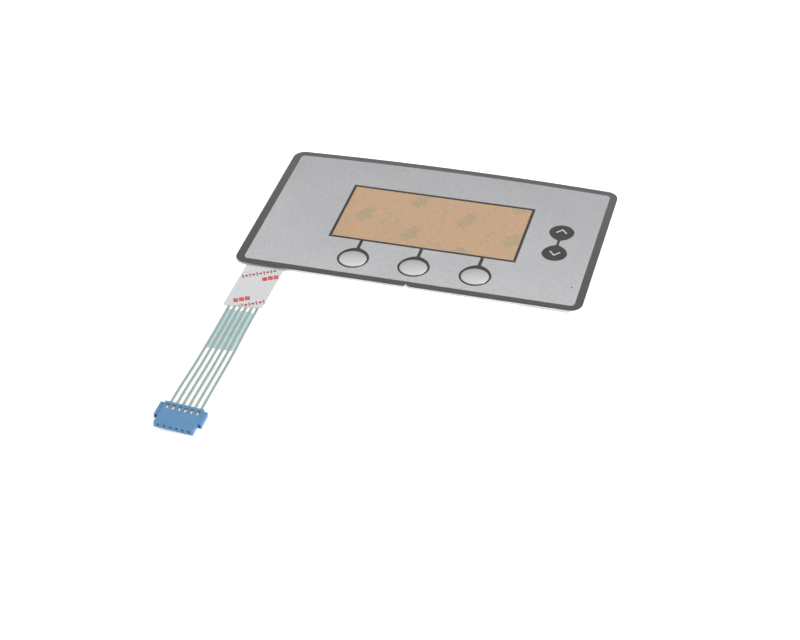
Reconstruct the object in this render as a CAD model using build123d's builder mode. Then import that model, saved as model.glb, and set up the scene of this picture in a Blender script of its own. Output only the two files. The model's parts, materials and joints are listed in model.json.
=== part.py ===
# Control panel overlay: a membrane switch laminate lying face up, with its flexible tail
# Origin: centre of the panel on its underside. +X to the right, +Y to the back edge, +Z up
from build123d import *
from math import atan2, cos, degrees, radians, sin, sqrt
import os

os.makedirs("parts", exist_ok=True)

# Panel outline
panel_width = 154.3
panel_depth = 91.2
back_rise = 2.2
corner_radius = 5.3

# V notch in the front edge
notch_x = 1.0
notch_depth = 2.0
notch_left = 0.65
notch_right = 0.8
notch_flare = 2.4
notch_flare_rise = 0.65

# Dark border around the silver field
border_left = 3.75
border_right = 3.45
border_back = 3.25
border_front = 3.4
face_radius = 1.9

# Layers, from the back to the front
rear_liner_thickness = 0.10
rear_adhesive_thickness = 0.05
circuit_thickness = 0.125
trace_thickness = 0.025
spacer_thickness = 0.50
retainer_thickness = 0.10
overlay_adhesive_thickness = 0.05
ink_thickness = 0.02
film_thickness = 0.20

# Display window
window_width = 85.0
window_depth = 41.0
window_x = 0.5
window_inset = 22.9
line_width = 1.25
window_liner_thickness = 0.08
window_clearance = 0.3
liner_margin = 0.45

# Round keys in a row under the window: half width, near and far reach of their dark drops
key_count = 3
key_pitch = 27.4
key_row_x = 0.95
key_row_inset = 14.0
key_side = 7.13
key_far = 6.95
key_flank = 7.12
key_tip = 7.85
key_face_x = 6.13
key_face_y = 5.53
key_face_shift = 0.37
link_width = 1.5

# Embossed pillow of a round key
emboss_height = 0.60
slope_width = 0.80
pillow_rim = 0.10

# Two arrow keys on the right
arrow_inset = 19.15
arrow_spacing = 15.7
arrow_row_y = 0.05
arrow_side = 5.6
arrow_far = 5.45
arrow_flank = 5.5
arrow_tip = 6.2
arrow_link_width = 1.25
chevron_half = 2.3
chevron_height = 2.5
chevron_stroke = 0.75
chevron_up_shift = 0.9

# Snap domes, their cells and their contact pads
dome_radius = 4.2
dome_crown = 2.4
dome_thickness = 0.07
dome_foot = 0.3
dome_leg_width = 3.2
cell_clearance = 0.5
vent_width = 1.2
pad_radius = 1.6
pad_sides = 8
ring_half_width = 0.4
ring_gap = 2.2

# Silver tracks inside the panel
lane_inset = 3.0
lane_pitch = 1.0
lane_width = 0.5
lane_clearance = 1.5
common_inset = 11.0

# Tail
tail_inset = 15.2
tail_width = 15.24
tail_root_radius = 1.5
tail_trace_width = 1.22
tail_trace_pitch = 2.46
tail_fan_length = 12.0
tail_flat_length = 58.4
twist_length = 38.45
twist_steps = 6
backing_start = 31.4
backing_length = 26.2
backing_width = 11.9
backing_shift = -0.65
backing_clip = 0.8
backing_thickness = 0.04

# White release paper on the tail
tail_adhesive_thickness = 0.05
tail_liner_thickness = 0.10
tail_liner_width = 17.0
tail_liner_left = 29.6
tail_liner_right = 28.0
tail_liner_flare = 1.4
tail_liner_lean = 0.45
tail_liner_gap = 0.1
tab_start = 51.6
tab_end = 72.4
tab_reach = 0.5

# Receptacle at the end of the tail
contact_pitch = 2.54
contact_count = 6
connector_roll = 5.4
housing_wall = 0.45
housing_length = 13.2
housing_height = 2.54
ear_width = 1.75
ear_height = 2.2
ear_setback = 0.9
ear_length = 7.5
ear_pocket_width = 0.9
ear_pocket_height = 1.3
ear_pocket_depth = 1.6
edge_chamfer = 0.15
scallop_radius = 1.2
scallop_depth = 0.25
film_level = 1.0
slot_clearance = 0.1
film_reach = 6.5

# Openings in the housing and the contact in each of them
hatch_width = 1.5
hatch_length = 2.6
hatch_setback = 1.4
crimp_cell_top = 1.95
cell_gap = 0.1
socket_height = 1.6
socket_size = 0.9
socket_wall = 0.7
socket_chamfer = 0.12
sleeve_size = 1.3
sleeve_wall = 0.2
sleeve_length = 5.2
sleeve_gap = 0.08
strip_overlap = 1.0
strip_setback = 1.7
strip_width = 1.0
strip_thickness = 0.20
tine_clearance = 0.02
tine_thickness = 0.18
tine_span = 1.2
tine_straight = 0.3
tine_curl = 0.5
tine_length = 1.3
tine_setback = 2.6

# Printed marks on the release papers
mark_thickness = 0.02
window_bar_width = 2.0
window_bar_length = 9.6
window_bar_pitch = 3.1
window_line_width = 0.7
window_line_length = 11.0
window_line_spacing = 9.0
window_mark_angle = 62
window_mark_margin = 0.8
window_mark_x = -7.6
window_mark_y = -10.1
window_step_x = 23.6
window_step_y = -10.2
window_rise_x = 22.0
window_rise_y = 15.2
tail_mark_angle = 28
tail_bar_width = 1.2
tail_bar_height = 2.4
tail_bar_pitch = 2.05
tail_bar_count = 4
upper_bars_x = 4.75
upper_bars_y = -7.5
lower_bars_x = -2.4
lower_bars_y = -24.3
stroke_width = 0.45
stroke_height = 1.9
stroke_pitch = 2.35
stroke_count = 7
upper_strokes_x = -1.2
upper_strokes_y = -5.6
lower_strokes_x = 0.6
lower_strokes_y = -27.3
rear_mark_width = 2.4
rear_mark_length = 9.0
rear_mark_spacing_x = 32.0
rear_mark_spacing_y = 36.0
rear_mark_angle = 62

# Heights of the layers
circuit_z = rear_liner_thickness + rear_adhesive_thickness
trace_z = circuit_z + circuit_thickness
spacer_z = trace_z + trace_thickness
retainer_z = spacer_z + spacer_thickness
overlay_adhesive_z = retainer_z + retainer_thickness
ink_z = overlay_adhesive_z + overlay_adhesive_thickness
film_z = ink_z + ink_thickness
film_top = film_z + film_thickness

# Places that follow from the sizes above
front_y = -panel_depth / 2
window_y = panel_depth / 2 - window_inset - window_depth / 2
key_y = front_y + key_row_inset
key_centers = [(key_row_x + (n - (key_count - 1) / 2) * key_pitch, key_y) for n in range(key_count)]
arrow_x = panel_width / 2 - arrow_inset
up_center = (arrow_x, arrow_row_y + arrow_spacing / 2)
down_center = (arrow_x, arrow_row_y - arrow_spacing / 2)
key_face_centers = [(x, y - key_face_shift) for x, y in key_centers]
dome_centers = key_face_centers + [up_center, down_center]
window_front = window_y - window_depth / 2
tail_x = -panel_width / 2 + tail_inset
tail_flat_end = front_y - tail_flat_length
housing_rear = tail_flat_end - twist_length
roll = radians(connector_roll)
housing_width = tail_width + 2 * slot_clearance + 2 * housing_wall
ear_span = housing_width + 2 * ear_width
housing_rise = ear_span / 2 * sin(roll)


# Height of the arched back edge, or of a line inside it
def back_edge(x, inset):
    arc_radius = (panel_width**2 / 4 + back_rise**2) / (2 * back_rise)
    return panel_depth / 2 - arc_radius + sqrt((arc_radius - inset) ** 2 - x**2)


# The panel's outline, or one that lies inside it
def outline(left, right, front, back, radius):
    x_left = left - panel_width / 2
    x_right = panel_width / 2 - right
    y_front = front_y + front
    back_left = (x_left, back_edge(x_left, back))
    back_right = (x_right, back_edge(x_right, back))
    with BuildSketch() as shape:
        with BuildLine():
            Line((x_left, y_front), (x_right, y_front))
            Line((x_right, y_front), back_right)
            ThreePointArc(back_right, (0, back_edge(0, back)), back_left)
            Line(back_left, (x_left, y_front))
        make_face()
        fillet(shape.vertices(), radius)
    return shape.sketch


# The V notch, with a short slope on its right
def notch():
    with BuildSketch() as shape:
        with BuildLine():
            Polyline(
                (notch_x, front_y + notch_depth),
                (notch_x - notch_left, front_y),
                (notch_x - notch_left, front_y - notch_depth),
                (notch_x + notch_flare, front_y - notch_depth),
                (notch_x + notch_flare, front_y),
                (notch_x + notch_right, front_y + notch_flare_rise),
                close=True,
            )
        make_face()
    return shape.sketch


# A drop: round below, drawn out to a blunt tip above
def drop(side, far, flank, tip):
    bend = flank * sqrt(0.5)
    with BuildSketch() as shape:
        with BuildLine():
            ThreePointArc((-side, 0), (0, -far), (side, 0))
            ThreePointArc((side, 0), (bend, bend), (0, tip))
            ThreePointArc((0, tip), (-bend, bend), (-side, 0))
        make_face()
    return shape.sketch


# The light face of a round key, a little wider than deep, or an outline inside it
def key_face(inset):
    half_x = key_face_x - inset
    half_y = key_face_y - inset
    bend_x = half_x * sqrt(0.5)
    bend_y = half_y * sqrt(0.5)
    with BuildSketch() as shape:
        with BuildLine():
            ThreePointArc((-half_x, 0), (-bend_x, -bend_y), (0, -half_y))
            ThreePointArc((0, -half_y), (bend_x, -bend_y), (half_x, 0))
            ThreePointArc((half_x, 0), (bend_x, bend_y), (0, half_y))
            ThreePointArc((0, half_y), (-bend_x, bend_y), (-half_x, 0))
        make_face()
    return shape.sketch


# The dark drops of the round keys with the links that tie them to the window frame
def key_drops():
    with BuildSketch() as shape:
        for x, y in key_centers:
            with Locations((x, y)):
                add(drop(key_side, key_far, key_flank, key_tip))
                Rectangle(link_width, window_front + line_width / 2 - y, align=(Align.CENTER, Align.MIN))
    return shape.sketch


# The dark drops of the arrow keys, tip to tip, with the link between them
def arrow_drops():
    arrow_drop = drop(arrow_side, arrow_far, arrow_flank, arrow_tip)
    with BuildSketch() as shape:
        with Locations(down_center):
            add(arrow_drop)
        with Locations(up_center):
            add(arrow_drop, rotation=180)
        with Locations((arrow_x, arrow_row_y)):
            Rectangle(arrow_link_width, arrow_spacing)
    return shape.sketch


# Both arrow heads, one up and one down
def chevrons():
    up_peak = up_center[1] + chevron_up_shift + chevron_height / 2
    down_peak = down_center[1] - chevron_height / 2
    with BuildSketch() as shape:
        for peak, foot in ((up_peak, up_peak - chevron_height), (down_peak, down_peak + chevron_height)):
            with BuildLine() as head:
                Polyline((arrow_x - chevron_half, foot), (arrow_x, peak), (arrow_x + chevron_half, foot))
            trace(head.line, chevron_stroke)
    return shape.sketch


# The window in the lower layers
def window_cut():
    inset = line_width - liner_margin - window_clearance
    with BuildSketch() as shape:
        with Locations((window_x, window_y)):
            Rectangle(window_width - 2 * inset, window_depth - 2 * inset)
    return shape.sketch


# A sheet of the laminate: the panel's outline with its notch
def sheet():
    with BuildSketch() as shape:
        add(outline(0, 0, 0, 0, corner_radius))
        add(notch(), mode=Mode.SUBTRACT)
    return shape.sketch


# The raised pillow of a round key as a closed body on the plane z = 0
def pillow(inset):
    with BuildPart() as body:
        with BuildSketch():
            add(key_face(inset))
        extrude(amount=emboss_height, taper=degrees(atan2(slope_width, emboss_height)))
    return body.part


sheet_shape = sheet()
window_shape = window_cut()
silver_shape = outline(border_left, border_right, border_front, border_back, face_radius)
key_drop_shape = key_drops()
key_face_shape = key_face(0)
arrow_drop_shape = arrow_drops()
chevron_shape = chevrons()
pillow_body = pillow(0)
pillow_hollow = pillow(pillow_rim)

# Clear face film, raised over the round keys
with BuildPart() as overlay_film:
    with BuildSketch(Plane.XY.offset(film_z)):
        add(sheet_shape)
    extrude(amount=film_thickness)
    with Locations([(x, y, film_top) for x, y in key_face_centers]):
        add(pillow_body)
    with Locations([(x, y, film_z) for x, y in key_face_centers]):
        add(pillow_body, mode=Mode.SUBTRACT)
overlay_film.part.label = "overlay_film"
export_step(overlay_film.part, "parts/overlay_film.step")

# Dark grey band all round, printed on the back of the film
with BuildPart() as border_print:
    with BuildSketch(Plane.XY.offset(ink_z)):
        add(sheet_shape)
        add(silver_shape, mode=Mode.SUBTRACT)
    extrude(amount=ink_thickness)
border_print.part.label = "border_print"
export_step(border_print.part, "parts/border_print.step")

# Silver field, open at the window and at the dark drops
with BuildPart() as face_print:
    with BuildSketch(Plane.XY.offset(ink_z)):
        add(silver_shape)
        add(key_drop_shape, mode=Mode.SUBTRACT)
        add(arrow_drop_shape, mode=Mode.SUBTRACT)
        with Locations((window_x, window_y)):
            Rectangle(window_width, window_depth, mode=Mode.SUBTRACT)
    extrude(amount=ink_thickness)
face_print.part.label = "face_print"
export_step(face_print.part, "parts/face_print.step")

# Window frame with the links and rings of the round keys, one dark print
with BuildPart() as legend_print:
    with BuildSketch(Plane.XY.offset(ink_z)):
        with Locations((window_x, window_y)):
            Rectangle(window_width, window_depth)
        add(key_drop_shape)
        with Locations((window_x, window_y)):
            Rectangle(window_width - 2 * line_width, window_depth - 2 * line_width, mode=Mode.SUBTRACT)
        with Locations(key_face_centers):
            add(key_face_shape, mode=Mode.SUBTRACT)
    extrude(amount=ink_thickness)
legend_print.part.label = "legend_print"
export_step(legend_print.part, "parts/legend_print.step")

# Silver ink under the raised pillows
with BuildPart() as key_print:
    with BuildSketch(Plane.XY.offset(ink_z)):
        with Locations(key_face_centers):
            add(key_face_shape)
    extrude(amount=ink_thickness)
    with Locations([(x, y, film_z) for x, y in key_face_centers]):
        add(pillow_body)
    with Locations([(x, y, ink_z) for x, y in key_face_centers]):
        add(pillow_hollow, mode=Mode.SUBTRACT)
key_print.part.label = "key_print"
export_step(key_print.part, "parts/key_print.step")

# Dark drops of the arrow keys
with BuildPart() as arrow_print:
    with BuildSketch(Plane.XY.offset(ink_z)):
        add(arrow_drop_shape)
        add(chevron_shape, mode=Mode.SUBTRACT)
    extrude(amount=ink_thickness)
arrow_print.part.label = "arrow_print"
export_step(arrow_print.part, "parts/arrow_print.step")

# Light arrow heads in the drops
with BuildPart() as chevron_print:
    with BuildSketch(Plane.XY.offset(ink_z)):
        add(chevron_shape)
    extrude(amount=ink_thickness)
chevron_print.part.label = "chevron_print"
export_step(chevron_print.part, "parts/chevron_print.step")

# Clear adhesive behind the prints
with BuildPart() as overlay_adhesive:
    with BuildSketch(Plane.XY.offset(overlay_adhesive_z)):
        add(sheet_shape)
    extrude(amount=overlay_adhesive_thickness)
overlay_adhesive.part.label = "overlay_adhesive"
export_step(overlay_adhesive.part, "parts/overlay_adhesive.step")

# Slanted pairs of bars with lines beside them, which fill the window's release paper inside its frame
mark_inset = line_width + window_mark_margin
mark_reach = int(window_width / window_rise_x)
with BuildSketch() as window_mark_shape:
    for step in range(-mark_reach, mark_reach + 1):
        for rise in range(-mark_reach, mark_reach + 1):
            mark_x = window_mark_x + step * window_step_x + rise * window_rise_x
            mark_y = window_mark_y + step * window_step_y + rise * window_rise_y
            if abs(mark_x) < window_width / 2 and abs(mark_y) < window_depth / 2:
                with Locations(Location((window_x + mark_x, window_y + mark_y), window_mark_angle)):
                    with GridLocations(1, window_bar_pitch, 1, 2):
                        Rectangle(window_bar_length, window_bar_width)
                    with GridLocations(1, 2 * window_line_spacing, 1, 2):
                        Rectangle(window_line_length, window_line_width)
    with Locations((window_x, window_y)):
        Rectangle(window_width - 2 * mark_inset, window_depth - 2 * mark_inset, mode=Mode.INTERSECT)
window_mark_z = overlay_adhesive_z - mark_thickness
window_liner_z = window_mark_z - window_liner_thickness

# Tan release paper behind the window
with BuildPart() as window_liner:
    with BuildSketch(Plane.XY.offset(window_liner_z)):
        with Locations((window_x, window_y)):
            liner_inset = line_width - liner_margin
            Rectangle(window_width - 2 * liner_inset, window_depth - 2 * liner_inset)
    extrude(amount=window_liner_thickness)
window_liner.part.label = "window_liner"
export_step(window_liner.part, "parts/window_liner.step")

# Pale marks printed on it
with BuildPart() as window_liner_marks:
    with BuildSketch(Plane.XY.offset(window_mark_z)):
        add(window_mark_shape.sketch)
    extrude(amount=mark_thickness)
window_liner_marks.part.label = "window_liner_marks"
export_step(window_liner_marks.part, "parts/window_liner_marks.step")

# Film that holds the snap domes in their cells
with BuildPart() as dome_retainer:
    with BuildSketch(Plane.XY.offset(retainer_z)):
        add(sheet_shape)
        add(window_shape, mode=Mode.SUBTRACT)
    extrude(amount=retainer_thickness)
dome_retainer.part.label = "dome_retainer"
export_step(dome_retainer.part, "parts/dome_retainer.step")

# Spacer with a round cell for each dome and vents that join the cells
with BuildPart() as spacer:
    with BuildSketch(Plane.XY.offset(spacer_z)):
        add(sheet_shape)
        add(window_shape, mode=Mode.SUBTRACT)
        with Locations(dome_centers):
            Circle(dome_radius + cell_clearance, mode=Mode.SUBTRACT)
        with Locations((key_row_x, key_y - key_face_shift)):
            Rectangle((key_count - 1) * key_pitch, vent_width, mode=Mode.SUBTRACT)
        with Locations((arrow_x, arrow_row_y)):
            Rectangle(vent_width, arrow_spacing, mode=Mode.SUBTRACT)
    extrude(amount=spacer_thickness)
spacer.part.label = "spacer"
export_step(spacer.part, "parts/spacer.step")

# Snap dome: a thin steel cap on four legs, as high as its cell
with BuildPart() as dome_cap:
    with BuildSketch(Plane.XZ):
        with BuildLine():
            Polyline(
                (dome_radius, 0),
                (dome_crown, spacer_thickness),
                (-dome_crown, spacer_thickness),
                (-dome_radius, 0),
                (dome_foot - dome_radius, 0),
                (-dome_crown, spacer_thickness - dome_thickness),
                (dome_crown, spacer_thickness - dome_thickness),
                (dome_radius - dome_foot, 0),
                close=True,
            )
        make_face()
    extrude(amount=dome_leg_width / 2, both=True)
    add(dome_cap.part, rotation=(0, 0, 90))
for number, (x, y) in enumerate(dome_centers, start=1):
    with BuildPart() as snap_dome:
        with Locations(Location((x, y, spacer_z), (0, 0, 45))):
            add(dome_cap.part)
    snap_dome.part.label = f"snap_dome_{number}"
    export_step(snap_dome.part, f"parts/snap_dome_{number}.step")

# Frames across the twisting stretch of the tail, from the flat part to the receptacle
film_end_x = tail_x + film_level * sin(roll)
film_end_z = housing_rise + film_level * cos(roll)
stations = []
for step in range(twist_steps + 1):
    along = step / twist_steps
    ease = along**2 * (3 - 2 * along)
    place = (
        tail_x + (film_end_x - tail_x) * ease,
        tail_flat_end - twist_length * along,
        circuit_z + (film_end_z - circuit_z) * ease,
    )
    turn = roll * ease
    stations.append(Plane(place, x_dir=(cos(turn), 0, -sin(turn)), z_dir=(0, -1, 0)))

# The receptacle's own frames: its underside, and its rear end seen from behind
housing_base = Plane(
    (tail_x, housing_rear, housing_rise), x_dir=(cos(roll), 0, -sin(roll)), z_dir=(sin(roll), 0, cos(roll))
)
housing_end = Plane(housing_base.origin, x_dir=housing_base.x_dir, z_dir=(0, -1, 0))
contact_places = [(n - (contact_count - 1) / 2) * contact_pitch for n in range(contact_count)]
tail_places = [(n - (contact_count - 1) / 2) * tail_trace_pitch for n in range(contact_count)]


# A strip along the twisting stretch and on into the receptacle
def ribbon(across, width, height, thickness):
    with BuildPart() as strip:
        for place in stations:
            with BuildSketch(place):
                with Locations((across, height)):
                    Rectangle(width, thickness, align=(Align.CENTER, Align.MIN))
        loft(ruled=True)
        with BuildSketch(stations[-1]):
            with Locations((across, height)):
                Rectangle(width, thickness, align=(Align.CENTER, Align.MIN))
        extrude(amount=film_reach)
    return strip.part


# The slots through which a contact's two tines pass
def tine_slots():
    slot_width = tine_thickness + 2 * tine_clearance
    slot_length = tine_length + 2 * tine_clearance
    with BuildPart() as slots:
        with BuildSketch(housing_base.offset(film_level - circuit_thickness)):
            for across in contact_places:
                with Locations((across, -tine_setback + tine_clearance)):
                    with GridLocations(tine_span, 1, 2, 1):
                        Rectangle(slot_width, slot_length, align=(Align.CENTER, Align.MAX))
        extrude(amount=3 * circuit_thickness)
    return slots.part


slot_bodies = tine_slots()

# Clear circuit film: the panel's sheet and its tail in one piece
with BuildPart() as circuit_film:
    with BuildSketch(Plane.XY.offset(circuit_z)) as circuit_shape:
        add(sheet_shape)
        with Locations((tail_x, tail_flat_end)):
            Rectangle(tail_width, tail_flat_length + border_front, align=(Align.CENTER, Align.MIN))
        near_tail = circuit_shape.vertices().sort_by_distance((tail_x, front_y))
        fillet(near_tail[:2], tail_root_radius)
        add(window_shape, mode=Mode.SUBTRACT)
    extrude(amount=circuit_thickness)
    add(ribbon(0, tail_width, 0, circuit_thickness))
    add(slot_bodies, mode=Mode.SUBTRACT)
circuit_film.part.label = "circuit_film"
export_step(circuit_film.part, "parts/circuit_film.step")


# Height of a lane, the first track having the one furthest from the front edge
def lane_y(number):
    return front_y + lane_inset + (contact_count - 1 - number) * lane_pitch


# The part of a track on the flat stretch of the tail, fanned out to the receptacle's pitch
def tail_track(number):
    start_x = tail_x + tail_places[number]
    end_x = tail_x + contact_places[number]
    half = tail_trace_width / 2
    fan_y = tail_flat_end + tail_fan_length
    with BuildSketch() as shape:
        with BuildLine():
            Polyline(
                (start_x - half, front_y + lane_inset / 2),
                (start_x - half, fan_y),
                (end_x - half, tail_flat_end),
                (end_x + half, tail_flat_end),
                (start_x + half, fan_y),
                (start_x + half, front_y + lane_inset / 2),
                close=True,
            )
        make_face()
    return shape.sketch


# Where each track runs inside the panel
ring_reach = dome_radius + ring_half_width
pass_x = arrow_x - ring_reach - lane_clearance
bus_x = window_x + window_width / 2 + 2 * lane_clearance
bus_y = key_y - key_face_shift + ring_reach + lane_clearance
common_x = panel_width / 2 - common_inset
common_y = up_center[1] + ring_reach + lane_clearance
routes = []
for number, (x, y) in enumerate(key_face_centers):
    routes.append([(x, lane_y(number)), (x, y)])
routes.append([(pass_x, lane_y(3)), (pass_x, up_center[1]), up_center])
routes.append([(arrow_x, lane_y(4)), down_center])
pads = key_face_centers + [up_center, down_center]
pad_turn = 180 / pad_sides

# Silver tracks, each from the eight sided pad in the middle of its key
for number, (route, pad) in enumerate(zip(routes, pads)):
    with BuildPart() as key_trace:
        with BuildSketch(Plane.XY.offset(trace_z)):
            add(tail_track(number))
            start_x = tail_x + tail_places[number]
            with BuildLine() as track:
                Polyline((start_x, front_y), (start_x, lane_y(number)), *route)
            trace(track.line, lane_width)
            with Locations(pad):
                RegularPolygon(pad_radius, pad_sides, major_radius=False, rotation=pad_turn)
        extrude(amount=trace_thickness)
        add(ribbon(contact_places[number], tail_trace_width, circuit_thickness, trace_thickness))
        add(slot_bodies, mode=Mode.SUBTRACT)
    key_trace.part.label = f"trace_{number + 1}"
    export_step(key_trace.part, f"parts/trace_{number + 1}.step")

# The common track with the open rings on which the domes stand
last = contact_count - 1
with BuildPart() as common_trace:
    with BuildSketch(Plane.XY.offset(trace_z)):
        with Locations(dome_centers):
            RegularPolygon(ring_reach, pad_sides, major_radius=False, rotation=pad_turn)
            RegularPolygon(
                dome_radius - ring_half_width,
                pad_sides,
                major_radius=False,
                rotation=pad_turn,
                mode=Mode.SUBTRACT,
            )
        with Locations([(x, y - dome_radius) for x, y in key_face_centers + [down_center]]):
            Rectangle(ring_gap, 4 * ring_half_width, mode=Mode.SUBTRACT)
        with Locations((arrow_x - dome_radius, up_center[1])):
            Rectangle(4 * ring_half_width, ring_gap, mode=Mode.SUBTRACT)
        add(tail_track(last))
        start_x = tail_x + tail_places[last]
        with BuildLine() as track:
            Polyline(
                (start_x, front_y),
                (start_x, lane_y(last)),
                (common_x, lane_y(last)),
                (common_x, common_y),
                (bus_x, common_y),
                (bus_x, bus_y),
                (key_face_centers[0][0], bus_y),
            )
        trace(track.line, lane_width)
        for x, y in key_face_centers:
            with BuildLine() as stub:
                Line((x, bus_y), (x, y + dome_radius))
            trace(stub.line, lane_width)
        for x, y in (up_center, down_center):
            with BuildLine() as stub:
                Line((common_x, y), (x + dome_radius, y))
            trace(stub.line, lane_width)
    extrude(amount=trace_thickness)
    add(ribbon(contact_places[last], tail_trace_width, circuit_thickness, trace_thickness))
    add(slot_bodies, mode=Mode.SUBTRACT)
common_trace.part.label = f"trace_{contact_count}"
export_step(common_trace.part, f"parts/trace_{contact_count}.step")

# Pale insulating coat on the back of the tail, with one corner clipped
with BuildPart() as tail_backing:
    with BuildSketch(Plane.XY.offset(circuit_z - backing_thickness)) as coat_shape:
        with Locations((tail_x + backing_shift, front_y - backing_start)):
            Rectangle(backing_width, backing_length, align=(Align.CENTER, Align.MAX))
        chamfer(coat_shape.vertices().sort_by(Axis.Y)[-2:].sort_by(Axis.X)[-1], backing_clip)
    extrude(amount=backing_thickness)
tail_backing.part.label = "tail_backing"
export_step(tail_backing.part, "parts/tail_backing.step")


# The release paper's outline on the tail, leaning to the left, with a flare at its root on the right
def tail_paper():
    left = tail_x - tail_liner_width / 2
    right = tail_x + tail_liner_width / 2
    top = front_y - tail_liner_gap
    with BuildSketch() as shape:
        with BuildLine():
            Polyline(
                (left, top),
                (left - tail_liner_lean, front_y - tail_liner_left),
                (right - tail_liner_lean, front_y - tail_liner_right),
                (right, top - tail_liner_flare),
                (right + tail_liner_flare, top),
                close=True,
            )
        make_face()
    return shape.sketch


tail_liner_shape = tail_paper()

# Adhesive over the tracks at the root of the tail
with BuildPart() as tail_adhesive:
    with BuildSketch(Plane.XY.offset(spacer_z)):
        add(tail_liner_shape)
        with Locations((tail_x, front_y)):
            Rectangle(tail_width, 2 * tail_liner_left, mode=Mode.INTERSECT)
    extrude(amount=tail_adhesive_thickness)
tail_adhesive.part.label = "tail_adhesive"
export_step(tail_adhesive.part, "parts/tail_adhesive.step")

# Marks on the tail's release paper: two groups of slanted bars and two rows of strokes, cut off with it
with BuildSketch() as tail_mark_shape:
    for across, along in ((upper_bars_x, upper_bars_y), (lower_bars_x, lower_bars_y)):
        with Locations(Location((tail_x + across, front_y + along), tail_mark_angle)):
            with GridLocations(tail_bar_pitch, 1, tail_bar_count, 1):
                Rectangle(tail_bar_width, tail_bar_height)
    for across, along in ((upper_strokes_x, upper_strokes_y), (lower_strokes_x, lower_strokes_y)):
        with Locations(Location((tail_x + across, front_y + along), tail_mark_angle)):
            with GridLocations(stroke_pitch, 1, stroke_count, 1):
                Rectangle(stroke_width, stroke_height)
    add(tail_liner_shape, mode=Mode.INTERSECT)
tail_liner_z = spacer_z + tail_adhesive_thickness
tail_mark_z = tail_liner_z + tail_liner_thickness

# White release paper on the tail
with BuildPart() as tail_liner:
    with BuildSketch(Plane.XY.offset(tail_liner_z)):
        add(tail_liner_shape)
    extrude(amount=tail_liner_thickness)
tail_liner.part.label = "tail_liner"
export_step(tail_liner.part, "parts/tail_liner.step")

# Red marks printed on it
with BuildPart() as tail_liner_marks:
    with BuildSketch(Plane.XY.offset(tail_mark_z)):
        add(tail_mark_shape.sketch)
    extrude(amount=mark_thickness)
tail_liner_marks.part.label = "tail_liner_marks"
export_step(tail_liner_marks.part, "parts/tail_liner_marks.step")

# Adhesive that fixes the panel to its housing
with BuildPart() as rear_adhesive:
    with BuildSketch(Plane.XY.offset(rear_liner_thickness)):
        add(sheet_shape)
        add(window_shape, mode=Mode.SUBTRACT)
    extrude(amount=rear_adhesive_thickness)
rear_adhesive.part.label = "rear_adhesive"
export_step(rear_adhesive.part, "parts/rear_adhesive.step")

# Bars on the rear release paper, in staggered rows
rear_mark_columns = int(panel_width / rear_mark_spacing_x)
rear_mark_rows = int(panel_depth / rear_mark_spacing_y)
column_pitch = panel_width / rear_mark_columns
row_pitch = panel_depth / rear_mark_rows
with BuildSketch() as rear_mark_shape:
    for row in range(rear_mark_rows):
        step = row - (rear_mark_rows - 1) / 2
        with Locations((step * column_pitch / 4, step * row_pitch)):
            with GridLocations(column_pitch, 1, rear_mark_columns, 1):
                Rectangle(rear_mark_length, rear_mark_width, rotation=rear_mark_angle)

# White release paper on the whole back, with a pull edge at the front right
with BuildPart() as rear_liner:
    with BuildSketch():
        add(sheet_shape)
        with Locations((tab_start, front_y - tab_reach)):
            Rectangle(tab_end - tab_start, tab_reach + border_front, align=(Align.MIN, Align.MIN))
    extrude(amount=rear_liner_thickness)
    with BuildSketch():
        add(rear_mark_shape.sketch)
    extrude(amount=mark_thickness, mode=Mode.SUBTRACT)
rear_liner.part.label = "rear_liner"
export_step(rear_liner.part, "parts/rear_liner.step")

# Red marks printed on it
with BuildPart() as rear_liner_marks:
    with BuildSketch():
        add(rear_mark_shape.sketch)
    extrude(amount=mark_thickness)
rear_liner_marks.part.label = "rear_liner_marks"
export_step(rear_liner_marks.part, "parts/rear_liner_marks.step")

# Places along the receptacle, measured forward from its rear end
sleeve_start = housing_length - socket_wall - sleeve_gap - sleeve_length
strip_floor = film_level - strip_thickness
tine_reach = tine_span + tine_thickness
crimp_cell_width = tine_reach + 2 * cell_gap
crimp_cell_length = film_reach + cell_gap - hatch_setback

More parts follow.
